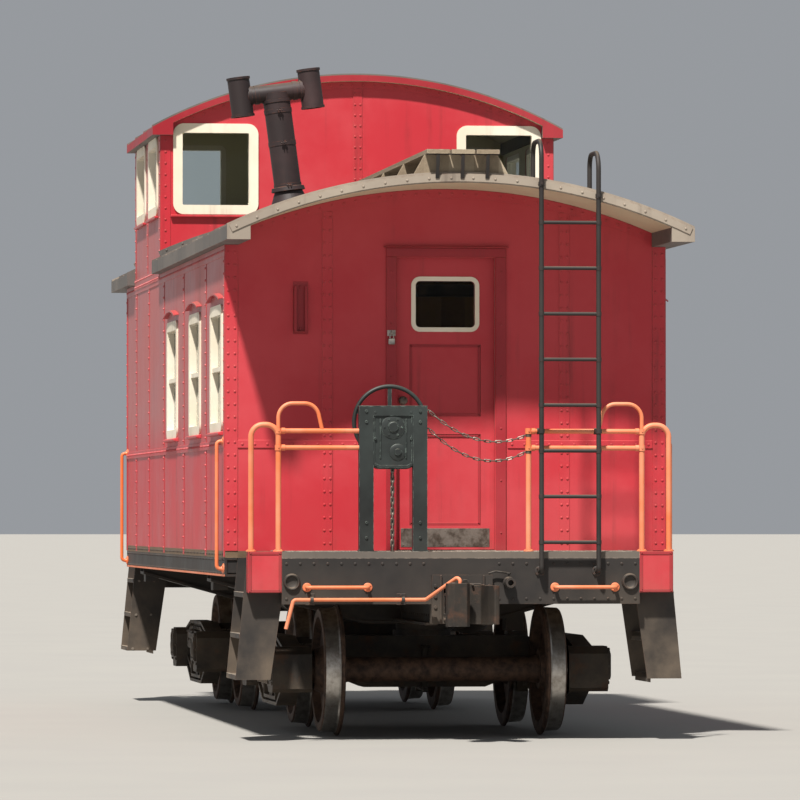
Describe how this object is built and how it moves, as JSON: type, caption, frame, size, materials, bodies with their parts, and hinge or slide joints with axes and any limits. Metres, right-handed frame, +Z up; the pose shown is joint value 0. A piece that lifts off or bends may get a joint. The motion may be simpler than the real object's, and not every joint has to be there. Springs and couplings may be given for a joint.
{
  "type": "cupola caboose",
  "caption": "Railway caboose with an offset cupola, arched roof, railed end platforms with steps and ladders, and swivelling two-axle trucks.",
  "frame": {"origin": "bottom centre of the bounding box, level with the wheel flanges' lowest points", "axes": "+X along the car towards the end with the stove, +Z up, -Y towards the side with the smoke jack"},
  "size_m": [10.496, 3.1, 4.7972],
  "materials": {
    "body_red": "gloss paint, weathered",
    "roof_grey": "matt roof paint",
    "deck_grey": "worn deck paint",
    "rail_orange": "gloss paint, faded",
    "frame_black": "underframe paint, dusty",
    "truck_black": "cast, grimy",
    "wheel_steel": "rusted with bright treads",
    "sash_cream": "satin paint",
    "window_glass": "clear glass",
    "plank": "weathered boards",
    "jack_black": "sooty paint",
    "stove_iron": "blackened",
    "bench_wood": "varnished",
    "cabin_green": "satin paint",
    "seat_leather": "worn"
  },
  "bodies": {
    "carbody": {"centre_sill": "frame_black", "side_sills": "frame_black", "floor_beams": "frame_black", "body_bolsters": "frame_black", "floor": "deck_grey", "side_wall_left": "body_red", "side_wall_right": "body_red", "cupola_side_left": "body_red", "cupola_side_right": "body_red", "cupola_end_near": "body_red", "cupola_end_far": "body_red", "main_roof": "roof_grey", "cupola_roof": "roof_grey", "window_frames": "sash_cream", "window_panes": "window_glass", "step_panels": "body_red", "end_grabs": "rail_orange", "side_grabs": "rail_orange", "running_boards": "plank", "smoke_jack": "jack_black", "stove": "stove_iron", "benches": "bench_wood", "lockers": "cabin_green", "cupola_seats": "seat_leather", "brake_gear": "frame_black", "train_pipe": "frame_black", "end_wall_near": "body_red", "end_wall_far": "body_red", "platform_near": "deck_grey", "platform_far": "deck_grey", "steps_near": "frame_black", "steps_far": "frame_black", "railing_near": "rail_orange", "railing_far": "rail_orange", "ladder_near": "frame_black", "ladder_far": "frame_black", "hand_brake_near": "frame_black", "hand_brake_far": "frame_black", "coupler_near": "truck_black", "coupler_far": "truck_black", "uncoupling_lever_near": "rail_orange", "uncoupling_lever_far": "rail_orange", "end_sill_near": "frame_black", "end_sill_far": "frame_black"},
    "near_truck": {"truck_bolster_near": "truck_black", "side_frames_near": "truck_black", "leaf_springs_near": "truck_black", "brake_beams_near": "truck_black"},
    "near_door": {"door_near": "body_red", "door_pane_near": "window_glass"},
    "far_truck": {"truck_bolster_far": "truck_black", "side_frames_far": "truck_black", "leaf_springs_far": "truck_black", "brake_beams_far": "truck_black"},
    "far_door": {"door_far": "body_red", "door_pane_far": "window_glass"},
    "axle_1": {"wheelset_1": "wheel_steel"},
    "axle_2": {"wheelset_2": "wheel_steel"},
    "axle_3": {"wheelset_3": "wheel_steel"},
    "axle_4": {"wheelset_4": "wheel_steel"}
  },
  "joints": [
    {"name": "near_truck_swivel", "type": "hinge", "parent": "carbody", "child": "near_truck", "pos_m": [2.7, 0, 0.6804], "axis": [0, 0, 1], "range_deg": [-7, 7]},
    {"name": "near_door_hinge", "type": "hinge", "parent": "carbody", "child": "near_door", "pos_m": [3.845, 0.35, 2.2354], "axis": [0, 0, 1], "range_deg": [-95, 0]},
    {"name": "far_truck_swivel", "type": "hinge", "parent": "carbody", "child": "far_truck", "pos_m": [-2.7, 0, 0.6804], "axis": [0, 0, 1], "range_deg": [-7, 7]},
    {"name": "far_door_hinge", "type": "hinge", "parent": "carbody", "child": "far_door", "pos_m": [-3.845, -0.35, 2.2354], "axis": [0, 0, 1], "range_deg": [-95, 0]},
    {"name": "axle_1_roll", "type": "hinge", "parent": "near_truck", "child": "axle_1", "pos_m": [3.55, 0, 0.4444], "axis": [0, 1, 0], "continuous": true},
    {"name": "axle_2_roll", "type": "hinge", "parent": "near_truck", "child": "axle_2", "pos_m": [1.85, 0, 0.4444], "axis": [0, 1, 0], "continuous": true},
    {"name": "axle_3_roll", "type": "hinge", "parent": "far_truck", "child": "axle_3", "pos_m": [-1.85, 0, 0.4444], "axis": [0, 1, 0], "continuous": true},
    {"name": "axle_4_roll", "type": "hinge", "parent": "far_truck", "child": "axle_4", "pos_m": [-3.55, 0, 0.4444], "axis": [0, 1, 0], "continuous": true}
  ]
}
